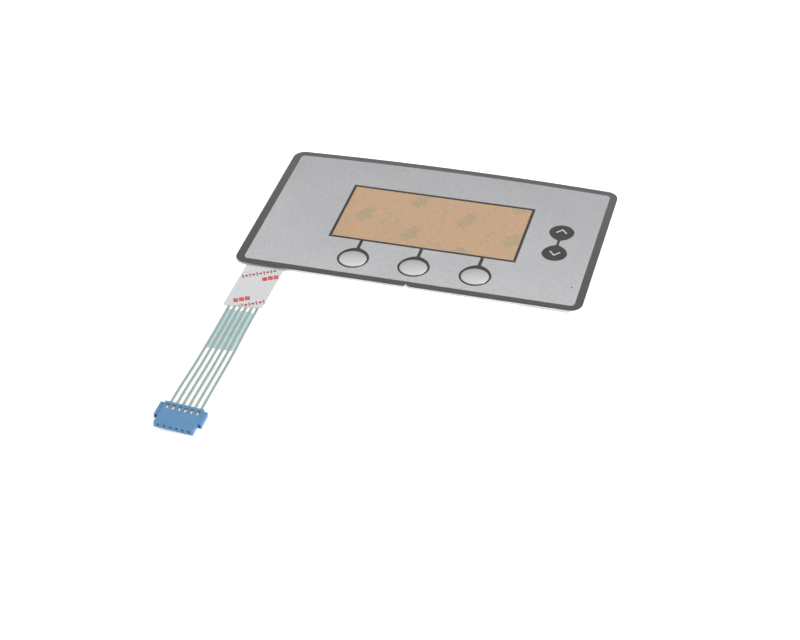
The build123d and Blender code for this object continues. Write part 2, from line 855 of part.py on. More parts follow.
# Blue housing of the receptacle
with BuildPart() as connector_housing:
    with BuildSketch(housing_end):
        Rectangle(housing_width, housing_height, align=(Align.CENTER, Align.MIN))
    extrude(amount=housing_length)
    end_edges = connector_housing.edges().group_by(Axis.Y)
    chamfer(end_edges[0] + end_edges[-1], edge_chamfer)
    with BuildSketch(housing_end.offset(ear_setback)):
        Rectangle(ear_span, ear_height, align=(Align.CENTER, Align.MIN))
    extrude(amount=ear_length)
    # Pockets in the front ends of the ears
    with BuildSketch(housing_end.offset(ear_setback + ear_length)):
        with Locations((0, ear_height / 2)):
            with GridLocations(housing_width + ear_width, 1, 2, 1):
                Rectangle(ear_pocket_width, ear_pocket_height)
    extrude(amount=-ear_pocket_depth, mode=Mode.SUBTRACT)
    # Shallow scallops in the rear end between the contacts
    with BuildSketch(housing_base):
        with Locations((0, scallop_radius - scallop_depth)):
            with GridLocations(contact_pitch, 1, contact_count - 1, 1):
                Circle(scallop_radius)
    extrude(amount=housing_height, mode=Mode.SUBTRACT)
    # Slot for the film
    with BuildSketch(housing_end):
        with Locations((0, film_level - slot_clearance)):
            Rectangle(
                tail_width + 2 * slot_clearance,
                circuit_thickness + trace_thickness + 2 * slot_clearance,
                align=(Align.CENTER, Align.MIN),
            )
    extrude(amount=film_reach + cell_gap, mode=Mode.SUBTRACT)
    # Cells behind the hatches, then the tunnels of the sleeves
    with BuildSketch(housing_end.offset(hatch_setback)):
        with Locations((0, (strip_floor + crimp_cell_top) / 2)):
            with GridLocations(contact_pitch, 1, contact_count, 1):
                Rectangle(crimp_cell_width, crimp_cell_top - strip_floor)
    extrude(amount=crimp_cell_length, mode=Mode.SUBTRACT)
    tunnel_top = socket_height + sleeve_size / 2 + sleeve_gap
    with BuildSketch(housing_end.offset(hatch_setback + crimp_cell_length)):
        with Locations((0, (strip_floor + tunnel_top) / 2)):
            with GridLocations(contact_pitch, 1, contact_count, 1):
                Rectangle(sleeve_size + 2 * sleeve_gap, tunnel_top - strip_floor)
    extrude(
        amount=housing_length - socket_wall - hatch_setback - crimp_cell_length, mode=Mode.SUBTRACT
    )
    # Square sockets with a lead-in
    with BuildSketch(housing_end.offset(housing_length)):
        with Locations((0, socket_height)):
            with GridLocations(contact_pitch, 1, contact_count, 1):
                Rectangle(socket_size, socket_size)
    extrude(amount=-socket_wall, mode=Mode.SUBTRACT)
    with BuildSketch(housing_end.offset(housing_length)):
        with Locations((0, socket_height)):
            with GridLocations(contact_pitch, 1, contact_count, 1):
                Rectangle(socket_size + 2 * socket_chamfer, socket_size + 2 * socket_chamfer)
    extrude(amount=-socket_chamfer, taper=45, mode=Mode.SUBTRACT)
    # Hatches over the crimps
    with BuildSketch(housing_base.offset(housing_height)):
        with Locations((0, -hatch_setback - hatch_length / 2)):
            with GridLocations(contact_pitch, 1, contact_count, 1):
                Rectangle(hatch_width, hatch_length)
    extrude(amount=film_level - housing_height, mode=Mode.SUBTRACT)
connector_housing.part.label = "connector_housing"
export_step(connector_housing.part, "parts/connector_housing.step")

# Contacts: a strip under the film, two curled tines through it and a square sleeve for a pin
strip_length = sleeve_start + strip_overlap - strip_setback
track_level = film_level + circuit_thickness + trace_thickness
bend_level = track_level + tine_straight
for number, across in enumerate(contact_places, start=1):
    with BuildPart() as contact:
        with BuildSketch(housing_end.offset(strip_setback)):
            with Locations((across, strip_floor)):
                Rectangle(strip_width, strip_thickness, align=(Align.CENTER, Align.MIN))
        extrude(amount=strip_length)
        with BuildSketch(housing_end.offset(tine_setback)):
            with Locations((across, strip_floor)):
                Rectangle(tine_reach, strip_thickness, align=(Align.CENTER, Align.MIN))
            for side in (-1, 1):
                foot = across + side * tine_span / 2
                tip = foot - side * tine_curl
                with BuildLine() as tine:
                    Polyline(
                        (foot, strip_floor + strip_thickness / 2),
                        (foot, bend_level),
                        ((foot + tip) / 2, bend_level + tine_curl / 2),
                        (tip, bend_level),
                        (tip, track_level),
                    )
                trace(tine.line, tine_thickness)
        extrude(amount=tine_length)
        with BuildSketch(housing_end.offset(sleeve_start)):
            with Locations((across, socket_height)):
                Rectangle(sleeve_size, sleeve_size)
                Rectangle(sleeve_size - 2 * sleeve_wall, sleeve_size - 2 * sleeve_wall, mode=Mode.SUBTRACT)
        extrude(amount=sleeve_length)
    contact.part.label = f"contact_{number}"
    export_step(contact.part, f"parts/contact_{number}.step")
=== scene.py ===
import json
from math import cos, radians, sin
import bmesh
import bpy
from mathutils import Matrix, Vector

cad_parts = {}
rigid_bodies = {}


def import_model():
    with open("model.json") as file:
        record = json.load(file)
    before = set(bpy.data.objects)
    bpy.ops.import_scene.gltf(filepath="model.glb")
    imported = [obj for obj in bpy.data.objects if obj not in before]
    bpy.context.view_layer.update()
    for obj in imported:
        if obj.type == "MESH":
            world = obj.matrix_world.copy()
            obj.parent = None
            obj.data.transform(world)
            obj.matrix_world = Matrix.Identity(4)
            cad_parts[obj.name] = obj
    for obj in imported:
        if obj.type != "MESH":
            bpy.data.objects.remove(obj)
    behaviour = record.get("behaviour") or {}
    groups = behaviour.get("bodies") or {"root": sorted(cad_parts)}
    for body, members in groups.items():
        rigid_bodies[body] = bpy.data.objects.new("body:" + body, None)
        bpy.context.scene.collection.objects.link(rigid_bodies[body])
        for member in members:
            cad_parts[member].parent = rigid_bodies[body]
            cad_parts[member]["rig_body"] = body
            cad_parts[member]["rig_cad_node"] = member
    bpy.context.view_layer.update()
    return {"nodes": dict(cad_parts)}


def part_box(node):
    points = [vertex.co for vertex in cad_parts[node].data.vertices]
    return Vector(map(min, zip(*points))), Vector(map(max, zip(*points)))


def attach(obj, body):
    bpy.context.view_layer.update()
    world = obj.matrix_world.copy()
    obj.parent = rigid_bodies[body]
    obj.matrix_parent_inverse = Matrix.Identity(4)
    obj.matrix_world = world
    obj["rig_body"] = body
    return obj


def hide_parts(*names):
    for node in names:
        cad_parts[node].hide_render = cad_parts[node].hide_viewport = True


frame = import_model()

mm = 0.001
tiny = 0.001 * mm  # what lies closer together than this is in one place
nodes = frame["nodes"]


# small helpers for working as by hand

def pickOnly(piece):
    bpy.ops.object.select_all(action="DESELECT")
    piece.select_set(True)
    bpy.context.view_layer.objects.active = piece


def startEdit(piece, mode="FACE", pick="DESELECT"):
    pickOnly(piece)
    bpy.ops.object.mode_set(mode="EDIT")
    bpy.ops.mesh.select_mode(type=mode)
    bpy.ops.mesh.select_all(action=pick)


def endEdit():
    bpy.ops.object.mode_set(mode="OBJECT")


def selectFaces(piece, wanted):
    bpy.ops.mesh.select_mode(type="FACE")
    bpy.ops.mesh.select_all(action="DESELECT")
    mesh = bmesh.from_edit_mesh(piece.data)
    for face in mesh.faces:
        face.select_set(wanted(face))
    bmesh.update_edit_mesh(piece.data)


def selectEdges(piece, wanted):
    bpy.ops.mesh.select_mode(type="EDGE")
    bpy.ops.mesh.select_all(action="DESELECT")
    mesh = bmesh.from_edit_mesh(piece.data)
    for edge in mesh.edges:
        edge.select_set(wanted(edge))
    bmesh.update_edit_mesh(piece.data)


def selectCorners(piece, wanted):
    # for a piece that is open in corner mode
    mesh = bmesh.from_edit_mesh(piece.data)
    for corner in mesh.verts:
        corner.select_set(wanted(corner))
    bmesh.update_edit_mesh(piece.data)


def copyOfNode(nodeName, pieceName):
    # a merged copy, so that the CAD mesh itself is left alone
    pickOnly(nodes[nodeName])
    bpy.ops.object.duplicate()
    piece = bpy.context.view_layer.objects.active
    piece.name = pieceName
    piece.data.name = pieceName
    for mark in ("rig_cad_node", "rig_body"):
        if mark in piece:
            del piece[mark]
    piece.parent = None
    startEdit(piece, pick="SELECT")
    bpy.ops.mesh.remove_doubles(threshold=tiny)
    endEdit()
    return piece


def settle(piece):
    # the object back at the origin, its place in its mesh
    pickOnly(piece)
    bpy.ops.object.transform_apply(location=True, rotation=True, scale=True)


def joinAs(name, parts):
    pickOnly(parts[0])
    for part in parts:
        part.select_set(True)
    bpy.ops.object.join()
    joined = bpy.context.view_layer.objects.active
    joined.name = name
    joined.data.name = name
    return joined


def away(*pieces):
    for piece in pieces:
        pickOnly(piece)
        bpy.ops.object.delete()


def addModifier(piece, kind, **settings):
    pickOnly(piece)
    bpy.ops.object.modifier_add(type=kind)
    modifier = piece.modifiers[-1]
    for name, value in settings.items():
        setattr(modifier, name, value)
    bpy.ops.object.modifier_apply(modifier=modifier.name)


def smooth(piece, angle):
    # edges that turn by more than the angle stay sharp
    pickOnly(piece)
    bpy.ops.object.shade_smooth_by_angle(angle=radians(angle))


def paint(piece, material):
    piece.data.materials.clear()
    piece.data.materials.append(material)


def linear(red, green, blue):
    # a colour as it is seen, 0 to 255, into the shader's own scale
    return tuple((c / 255 / 12.92) if c <= 10 else ((c / 255 + 0.055) / 1.055) ** 2.4
                 for c in (red, green, blue)) + (1.0,)


def grey(level):
    # in the shader's own scale
    return (level, level, level, 1.0)


# camera, as the photograph was taken

cameraSizes = {
    "place": (0.179095, -0.628507, 0.472040),
    "turn": (51.21409616, 1.76272963, 15.82304866),
    "lens": 81.155,
    "sensor": 36.0,
    "nearest": 0.01,  # what is closer isn't shown
}
bpy.ops.object.select_all(action="DESELECT")
bpy.ops.object.camera_add(location=cameraSizes["place"], rotation=[radians(a) for a in cameraSizes["turn"]])
camera = bpy.context.view_layer.objects.active
camera.data.lens = cameraSizes["lens"]
camera.data.sensor_width = cameraSizes["sensor"]
camera.data.clip_start = cameraSizes["nearest"]
bpy.context.scene.camera = camera
bpy.context.scene.view_settings.view_transform = "Standard"
print("camera placed")


# what the materials are built from, all on Object coordinates

def freshMaterial(name):
    material = bpy.data.materials.new(name)
    material.use_nodes = True
    tree = material.node_tree
    shader = tree.nodes["Principled BSDF"]
    place = tree.nodes.new("ShaderNodeTexCoord").outputs["Object"]
    return material, tree, shader, place


def noiseOn(tree, place, size, detail=2.0, stretch=(1.0, 1.0, 1.0), roughness=0.5):
    # blotches of about that many millimetres across
    mapping = tree.nodes.new("ShaderNodeMapping")
    mapping.inputs["Scale"].default_value = stretch
    noise = tree.nodes.new("ShaderNodeTexNoise")
    noise.inputs["Scale"].default_value = 1 / (size * mm)
    noise.inputs["Detail"].default_value = detail
    noise.inputs["Roughness"].default_value = roughness
    tree.links.new(place, mapping.inputs["Vector"])
    tree.links.new(mapping.outputs["Vector"], noise.inputs["Vector"])
    return noise.outputs["Fac"]


def rampOf(tree, value, *stops):
    ramp = tree.nodes.new("ShaderNodeValToRGB")
    elements = ramp.color_ramp.elements
    elements[0].position, elements[0].color = stops[0]
    elements[1].position, elements[1].color = stops[-1]
    for position, color in stops[1:-1]:
        elements.new(position).color = color
    tree.links.new(value, ramp.inputs["Fac"])
    return ramp.outputs["Color"]


def fadeOf(tree, value, reach, first, last):
    # from the first colour to the last one, between the two ends of the reach
    return rampOf(tree, value, (reach[0], first), (reach[1], last))


def spanOf(tree, value, start, end, first, last):
    # from the first number where the value is at the start, to the last one where it is at the end
    span = tree.nodes.new("ShaderNodeMapRange")
    span.inputs["From Min"].default_value = start
    span.inputs["From Max"].default_value = end
    span.inputs["To Min"].default_value = first
    span.inputs["To Max"].default_value = last
    tree.links.new(value, span.inputs["Value"])
    return span.outputs["Result"]


def axisOf(tree, place, axis):
    apart = tree.nodes.new("ShaderNodeSeparateXYZ")
    tree.links.new(place, apart.inputs["Vector"])
    return apart.outputs[axis]


def mathOn(tree, operation, first, second):
    # the second one is a number or another node's output
    step = tree.nodes.new("ShaderNodeMath")
    step.operation = operation
    tree.links.new(first, step.inputs[0])
    if isinstance(second, float):
        step.inputs[1].default_value = second
    else:
        tree.links.new(second, step.inputs[1])
    return step.outputs[0]


def multiplied(tree, color, other, share=1.0):
    # the colour times the other one, or times as much of it as the share says
    mix = tree.nodes.new("ShaderNodeMix")
    mix.data_type = "RGBA"
    mix.blend_type = "MULTIPLY"
    for socket, value in ((mix.inputs["Factor"], share), (mix.inputs[6], color), (mix.inputs[7], other)):
        if isinstance(value, (float, tuple)):
            socket.default_value = value
        else:
            tree.links.new(value, socket)
    return mix.outputs[2]


def bumpOn(tree, shader, height, depth, strength):
    bump = tree.nodes.new("ShaderNodeBump")
    bump.inputs["Strength"].default_value = strength
    bump.inputs["Distance"].default_value = depth * mm
    tree.links.new(height, bump.inputs["Height"])
    tree.links.new(bump.outputs["Normal"], shader.inputs["Normal"])


def roughnessOn(tree, shader, value, low, high):
    tree.links.new(spanOf(tree, value, 0.0, 1.0, low, high), shader.inputs["Roughness"])


spotRim = {
    "inner": 0.5,  # full shade up to here, where 1 is the outline
    "outer": 1.3,  # none from here on
}


def spotOn(tree, place, color, spot):
    # a small oval spot of another shade, soft at its rim
    mapping = tree.nodes.new("ShaderNodeMapping")
    mapping.vector_type = "TEXTURE"
    mapping.inputs["Location"].default_value = (spot["x"] * mm, spot["y"] * mm, 0.0)
    mapping.inputs["Rotation"].default_value = (0.0, 0.0, radians(spot["turn"]))
    mapping.inputs["Scale"].default_value = (spot["length"] / 2 * mm, spot["width"] / 2 * mm, 1.0)
    far = tree.nodes.new("ShaderNodeVectorMath")
    far.operation = "LENGTH"
    tree.links.new(place, mapping.inputs["Vector"])
    tree.links.new(mapping.outputs["Vector"], far.inputs[0])
    share = spanOf(tree, far.outputs["Value"], spotRim["inner"], spotRim["outer"], 1.0, 0.0)
    return multiplied(tree, color, grey(spot["shade"]), share)


# where the tail comes out: the tail's middle at the panel's front edge

adhesiveLow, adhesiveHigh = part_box("tail_adhesive")
tailX = (adhesiveLow.x + adhesiveHigh.x) / 2
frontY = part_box("overlay_film")[0].y
# painted shade on the edges of the sheets there
paintedExitShade = {"x": tailX / mm, "y": frontY / mm, "length": 21.0, "width": 1.0, "turn": 0, "shade": 0.25}


# inks, milky film, plastic and metal: two close shades in fine grain over broad, faint clouds

inkGrain = {
    "detail": 3.0,
    "reach": (0.3, 0.7),
    "cloudDetail": 2.0,
    "cloudReach": (0.3, 0.7),
    "cloudShade": 0.94,
    "mottleDetail": 6.0,
    "mottleRoughness": 0.75,
    "mottleReach": (0.47, 0.54),
    "mottleShade": 0.955,
    "shine": 0.5,  # where a look gives no other
    "bumpStrength": 0.4,
}


def inkMaterial(name, look):
    material, tree, shader, place = freshMaterial(name)
    grain = noiseOn(tree, place, look["grain"], detail=inkGrain["detail"])
    clouds = noiseOn(tree, place, look["clouds"], detail=inkGrain["cloudDetail"])
    fine = fadeOf(tree, grain, inkGrain["reach"], look["dark"], look["light"])
    broad = fadeOf(tree, clouds, inkGrain["cloudReach"], grey(inkGrain["cloudShade"]), grey(1.0))
    color = multiplied(tree, fine, broad)
    if "mottle" in look:
        mottle = noiseOn(tree, place, look["mottle"], detail=inkGrain["mottleDetail"],
                         roughness=inkGrain["mottleRoughness"])
        patches = fadeOf(tree, mottle, inkGrain["mottleReach"], grey(inkGrain["mottleShade"]), grey(1.0))
        color = multiplied(tree, color, patches)
    # painted shade, darker towards the front and lighter towards the back
    if "paintedShade" in look:
        front, back, first, last = look["paintedShade"]
        shade = spanOf(tree, axisOf(tree, place, "Y"), front * mm, back * mm, first, last)
        color = multiplied(tree, color, shade)
    for spot in look.get("spots", ()):
        color = spotOn(tree, place, color, spot)
    tree.links.new(color, shader.inputs["Base Color"])
    shader.inputs["Metallic"].default_value = look["metal"]
    shader.inputs["Specular IOR Level"].default_value = look.get("shine", inkGrain["shine"])
    roughnessOn(tree, shader, grain, look["smooth"], look["rough"])
    bumpOn(tree, shader, grain, look["bump"], inkGrain["bumpStrength"])
    return material


silverLook = {"dark": linear(206, 207, 209), "light": linear(222, 223, 225), "grain": 0.60, "clouds": 30.0,
              "metal": 0.65, "smooth": 0.17, "rough": 0.22, "bump": 0.0015, "mottle": 1.3,
              "spots": (  # a black speck, a faint smudge and a faint scratch
                  {"x": 70.1, "y": -29.6, "length": 0.80, "width": 0.80, "turn": 0, "shade": 0.05},
                  {"x": 16.4, "y": -31.1, "length": 2.2, "width": 1.6, "turn": 30, "shade": 0.90},
                  {"x": 50.1, "y": 20.0, "length": 17.0, "width": 0.5, "turn": 88, "shade": 1.10})}
keyLook = {"dark": linear(211, 212, 213), "light": linear(221, 222, 223), "grain": 0.30, "clouds": 12.0,
           "metal": 0.55, "smooth": 0.30, "rough": 0.36, "bump": 0.001}
borderLook = {"dark": linear(74, 74, 76), "light": linear(83, 83, 85), "grain": 0.40, "clouds": 20.0,
              "metal": 0.0, "smooth": 0.50, "rough": 0.62, "bump": 0.003,
              "paintedShade": (-43.0, 44.0, 0.62, 1.14)}  # painted shade, darker at the front: its front and back, and the shade at each
legendLook = {"dark": linear(44, 44, 46), "light": linear(52, 52, 54), "grain": 0.40, "clouds": 15.0,
              "metal": 0.0, "smooth": 0.50, "rough": 0.62, "bump": 0.003, "shine": 0.25}
chevronLook = {"dark": linear(194, 195, 196), "light": linear(206, 207, 208), "grain": 0.30, "clouds": 5.0,
               "metal": 0.15, "smooth": 0.45, "rough": 0.55, "bump": 0.002}
trackLook = {"dark": linear(151, 171, 164), "light": linear(171, 188, 181), "grain": 0.25, "clouds": 6.0,
             "metal": 0.15, "smooth": 0.40, "rough": 0.60, "bump": 0.004}
coatLook = {"dark": linear(182, 213, 216), "light": linear(200, 226, 229), "grain": 0.8, "clouds": 6.0,
            "metal": 0.0, "smooth": 0.40, "rough": 0.55, "bump": 0.003}
milkyLook = {"dark": linear(234, 235, 235), "light": linear(244, 245, 245), "grain": 1.5, "clouds": 12.0,
             "metal": 0.0, "smooth": 0.35, "rough": 0.45, "bump": 0.002, "spots": (paintedExitShade,)}
gluePileLook = {"dark": linear(230, 228, 224), "light": linear(242, 240, 236), "grain": 1.0, "clouds": 8.0,
                "metal": 0.0, "smooth": 0.40, "rough": 0.50, "bump": 0.003, "spots": (paintedExitShade,)}
steelLook = {"dark": linear(188, 189, 190), "light": linear(206, 207, 208), "grain": 0.3, "clouds": 4.0,
             "metal": 1.0, "smooth": 0.22, "rough": 0.34, "bump": 0.002}
tinLook = {"dark": linear(246, 240, 236), "light": linear(255, 254, 252), "grain": 0.25, "clouds": 1.5,
           "metal": 1.0, "smooth": 0.20, "rough": 0.30, "bump": 0.002}
plasticLook = {"dark": linear(84, 132, 173), "light": linear(99, 146, 186), "grain": 0.60, "clouds": 3.0,
               "metal": 0.0, "smooth": 0.40, "rough": 0.52, "bump": 0.006}

silverInk = inkMaterial("silver ink", silverLook)
keyInk = inkMaterial("silver ink on the keys", keyLook)
borderInk = inkMaterial("border ink", borderLook)
legendInk = inkMaterial("dark ink", legendLook)
chevronInk = inkMaterial("light ink", chevronLook)
trackInk = inkMaterial("silver track", trackLook)
coatInk = inkMaterial("pale coat", coatLook)
milkyFilm = inkMaterial("milky film", milkyLook)
glueInPile = inkMaterial("adhesive between the sheets", gluePileLook)
springSteel = inkMaterial("spring steel", steelLook)
tinnedMetal = inkMaterial("tinned contact", tinLook)
bluePlastic = inkMaterial("moulded blue plastic", plasticLook)


# release paper with short fibres

paperGrain = {
    "detail": 4.0,
    "stretch": (1.0, 0.4, 1.0),
    "fibreRoughness": 0.6,
    "reach": (0.25, 0.75),
    "cloudDetail": 2.0,
    "cloudReach": (0.3, 0.7),
    "cloudShade": 0.965,
    "roughness": 0.62,
    "bump": 0.01,
    "bumpStrength": 0.3,
}
paperLook = {"dark": linear(208, 209, 210), "light": linear(221, 222, 223), "fibre": 0.5, "clouds": 9.0}
# painted light: the same release paper as on the tail, painted lighter so that its edges come out white
paintedLightLinerLook = {"dark": linear(230, 231, 231), "light": linear(242, 243, 243), "fibre": 0.5, "clouds": 9.0,
             "spots": (paintedExitShade,)}
tanLook = {"dark": linear(193, 155, 119), "light": linear(205, 168, 131), "fibre": 1.0, "clouds": 14.0}
tracksBelow = {
    "shade": (0.965, 0.97, 0.97, 1.0),
    "count": 6,
    "pitch": 2.46,
    "width": 1.22,
    "soft": 0.2,        # to each side of a track's edge
    "stepShade": 0.50,  # the soft shade under the panel's front edge
    "stepReach": 1.6,
}


def tracksOn(tree, place, color):
    # over the tail the tracks show through the paper as faint stripes, and painted shade darkens the paper
    # just in front of the panel's front edge
    pitch = tracksBelow["pitch"] * mm
    soft = tracksBelow["soft"] * mm
    firstTrackX = tailX - (tracksBelow["count"] - 1) / 2 * pitch
    shift = mathOn(tree, "SUBTRACT", axisOf(tree, place, "X"), firstTrackX - pitch / 2)
    fold = mathOn(tree, "PINGPONG", shift, pitch / 2)
    edge = (pitch - tracksBelow["width"] * mm) / 2
    within = spanOf(tree, fold, edge - soft, edge + soft, 0.0, 1.0)
    stripes = fadeOf(tree, within, (0.0, 1.0), grey(1.0), tracksBelow["shade"])
    # painted shade on the paper in front of the panel's front edge
    step = spanOf(tree, axisOf(tree, place, "Y"), frontY - tracksBelow["stepReach"] * mm, frontY,
                  1.0, tracksBelow["stepShade"])
    return multiplied(tree, multiplied(tree, color, stripes), step)


def paperMaterial(name, look, overTracks=False):
    material, tree, shader, place = freshMaterial(name)
    fibre = noiseOn(tree, place, look["fibre"], detail=paperGrain["detail"], stretch=paperGrain["stretch"],
                    roughness=paperGrain["fibreRoughness"])
    clouds = noiseOn(tree, place, look["clouds"], detail=paperGrain["cloudDetail"])
    fine = fadeOf(tree, fibre, paperGrain["reach"], look["dark"], look["light"])
    broad = fadeOf(tree, clouds, paperGrain["cloudReach"], grey(paperGrain["cloudShade"]), grey(1.0))
    color = multiplied(tree, fine, broad)
    if overTracks:
        color = tracksOn(tree, place, color)
    for spot in look.get("spots", ()):
        color = spotOn(tree, place, color, spot)
    tree.links.new(color, shader.inputs["Base Color"])
    shader.inputs["Roughness"].default_value = paperGrain["roughness"]
    bumpOn(tree, shader, fibre, paperGrain["bump"], paperGrain["bumpStrength"])
    return material


whitePaper = paperMaterial("white release paper", paintedLightLinerLook)
tailPaper = paperMaterial("white release paper over the tracks", paperLook, overTracks=True)
tanPaper = paperMaterial("tan release paper", tanLook)


# print that took unevenly, with the paper between its specks

markGrain = {
    "detail": 5.0,
    "blotRoughness": 0.7,
    "soft": 0.06,  # to each side of the level at which the ink took
    "roughness": 0.6,
    "bump": 0.001,
    "bumpStrength": 0.3,
}
greenLook = {"paper": linear(199, 162, 125), "ink": linear(164, 152, 120), "blot": 0.9, "took": 0.48}
speckLook = {"paper": linear(199, 162, 125), "ink": linear(170, 156, 123), "blot": 1.6, "took": 0.53}
redLook = {"paper": linear(224, 156, 158), "ink": linear(200, 58, 68), "blot": 0.7, "took": 0.44}
rowLook = {"paper": linear(216, 150, 150), "ink": linear(164, 66, 68), "blot": 0.6, "took": 0.42}


def markMaterial(name, look):
    material, tree, shader, place = freshMaterial(name)
    blots = noiseOn(tree, place, look["blot"], detail=markGrain["detail"],
                    roughness=markGrain["blotRoughness"])
    reach = (look["took"] - markGrain["soft"], look["took"] + markGrain["soft"])
    color = fadeOf(tree, blots, reach, look["paper"], look["ink"])
    tree.links.new(color, shader.inputs["Base Color"])
    shader.inputs["Roughness"].default_value = markGrain["roughness"]
    bumpOn(tree, shader, blots, markGrain["bump"], markGrain["bumpStrength"])
    return material


greenMarks = markMaterial("pale green print", greenLook)
greenSpecks = markMaterial("pale green specks", speckLook)
redMarks = markMaterial("red print", redLook)
rowMarks = markMaterial("fine red print", rowLook)


# clear film or adhesive: a thin veil with its own gloss, slightly uneven

veilGrain = {
    "haze": 4.0,  # size of its blotches
    "detail": 3.0,
    "reach": (0.3, 0.7),
    "lighter": 1.04,
    "smoothest": 0.9,
    "roughest": 1.1,
}
filmLook = {"color": linear(236, 238, 240), "alpha": 0.02, "rough": 0.35}
glueLook = {"color": linear(240, 238, 230), "alpha": 0.01, "rough": 0.40}
circuitLook = {"color": linear(240, 243, 243), "alpha": 0.04, "rough": 0.25}


def clearMaterial(name, look):
    material, tree, shader, place = freshMaterial(name)
    haze = noiseOn(tree, place, veilGrain["haze"], detail=veilGrain["detail"])
    light = tuple(min(1.0, c * veilGrain["lighter"]) for c in look["color"][:3]) + (1.0,)
    color = fadeOf(tree, haze, veilGrain["reach"], look["color"], light)
    tree.links.new(color, shader.inputs["Base Color"])
    shader.inputs["Alpha"].default_value = look["alpha"]
    roughnessOn(tree, shader, haze, look["rough"] * veilGrain["smoothest"],
                look["rough"] * veilGrain["roughest"])
    return material


clearFilm = clearMaterial("clear face film", filmLook)
clearGlue = clearMaterial("clear adhesive", glueLook)
clearCircuit = clearMaterial("clear circuit film", circuitLook)


# every CAD node gets its finish, those that a piece replaces below too

finishes = {
    "border_print": borderInk, "face_print": silverInk, "legend_print": legendInk, "arrow_print": legendInk,
    "chevron_print": chevronInk, "key_print": keyInk, "overlay_film": clearFilm,
    "overlay_adhesive": clearGlue, "circuit_film": clearCircuit, "dome_retainer": milkyFilm,
    "spacer": milkyFilm, "tail_adhesive": glueInPile, "rear_adhesive": glueInPile,
    "window_liner": tanPaper, "window_liner_marks": greenMarks, "tail_liner": tailPaper,
    "tail_liner_marks": redMarks, "rear_liner": whitePaper, "rear_liner_marks": redMarks,
    "tail_backing": coatInk, "connector_housing": bluePlastic,
    "trace_": trackInk, "contact_": tinnedMetal, "snap_dome_": springSteel,  # names without their number
}
for nodeName, node in nodes.items():
    paint(node, finishes[nodeName.rstrip("0123456789")])
print("materials on", len(nodes), "nodes")


# keys: smooth domes of silver ink and the clear film that follows them

keySizes = {
    "count": 3,
    "halfWidth": 6.13,  # half the width of the raised ellipse
    "halfDepth": 5.53,
    "rise": 0.60,
    "segments": 64,
    "rings": 24,
    "inkThickness": 0.018,
    "filmGap": 0.003,   # between the ink and the film's back
    "smoothAngle": 40,
}
keyLow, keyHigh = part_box("key_print")
firstKeyX = keyLow.x + keySizes["halfWidth"] * mm
lastKeyX = keyHigh.x - keySizes["halfWidth"] * mm
keyStep = (lastKeyX - firstKeyX) / (keySizes["count"] - 1)
keyY = (keyLow.y + keyHigh.y) / 2
keyPlaces = [(firstKeyX + n * keyStep, keyY) for n in range(keySizes["count"])]
filmLow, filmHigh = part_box("overlay_film")
filmFoot = filmLow.z
filmTop = filmHigh.z - keySizes["rise"] * mm


def domeAt(name, place, footZ, shrink=0.0):
    # the upper half of a flattened ball, open below
    bpy.ops.object.select_all(action="DESELECT")
    bpy.ops.mesh.primitive_uv_sphere_add(segments=keySizes["segments"], ring_count=keySizes["rings"],
                                         radius=1.0, location=(place[0], place[1], footZ))
    dome = bpy.context.view_layer.objects.active
    dome.name = name
    dome.scale = [(keySizes[size] - shrink) * mm for size in ("halfWidth", "halfDepth", "rise")]
    settle(dome)
    startEdit(dome, pick="SELECT")
    bpy.ops.mesh.bisect(plane_co=(0.0, 0.0, footZ), plane_no=(0.0, 0.0, 1.0), clear_inner=True,
                        threshold=tiny)
    endEdit()
    return dome


caps = []
for n, place in enumerate(keyPlaces):
    cap = domeAt(f"keyCap{n + 1}", place, filmFoot, shrink=keySizes["filmGap"])
    startEdit(cap, "EDGE")
    selectEdges(cap, lambda edge: edge.is_boundary)
    bpy.ops.mesh.extrude_region_move(TRANSFORM_OT_translate={"value": (0.0, 0.0, keyLow.z - filmFoot)})
    endEdit()
    addModifier(cap, "SOLIDIFY", thickness=keySizes["inkThickness"] * mm, offset=-1.0, use_even_offset=True)
    caps.append(cap)
keyCaps = joinAs("keyCaps", caps)
smooth(keyCaps, keySizes["smoothAngle"])
paint(keyCaps, keyInk)
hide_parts("key_print")
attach(keyCaps, "root")
print("key caps made")

filmSizes = {
    "level": 0.4,     # a face whose normal rises by more than this isn't of the edge
    "near": 0.002,    # how close to its level the rim of an opening lies
    "weld": 0.0005,
    "drawIn": 0.004,  # keeps the clear film off the prints
    "smoothAngle": 30,
}
filmEdge = copyOfNode("overlay_film", "faceFilm")
startEdit(filmEdge)
selectFaces(filmEdge, lambda face: abs(face.normal.z) > filmSizes["level"])
bpy.ops.mesh.delete(type="FACE")
endEdit()
shells = [filmEdge]
for n, place in enumerate(keyPlaces):
    shells.append(domeAt(f"filmOver{n + 1}", place, filmTop))
    shells.append(domeAt(f"filmUnder{n + 1}", place, filmFoot))
faceFilm = joinAs("faceFilm", shells)
startEdit(faceFilm, "EDGE")
for level in (filmTop, filmFoot):
    selectEdges(faceFilm, lambda edge: edge.is_boundary and all(
        abs(corner.co.z - level) < filmSizes["near"] * mm for corner in edge.verts))
    bpy.ops.mesh.fill(use_beauty=True)
bpy.ops.mesh.select_all(action="SELECT")
bpy.ops.mesh.remove_doubles(threshold=filmSizes["weld"] * mm)
bpy.ops.mesh.normals_make_consistent(inside=False)
bpy.ops.transform.shrink_fatten(value=-filmSizes["drawIn"] * mm)
endEdit()
smooth(faceFilm, filmSizes["smoothAngle"])
paint(faceFilm, clearFilm)
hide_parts("overlay_film")
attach(faceFilm, "root")
print("face film made")


# the other clear sheets, drawn in a hair so that they touch nothing opaque

sheetSizes = {"drawIn": 0.004}


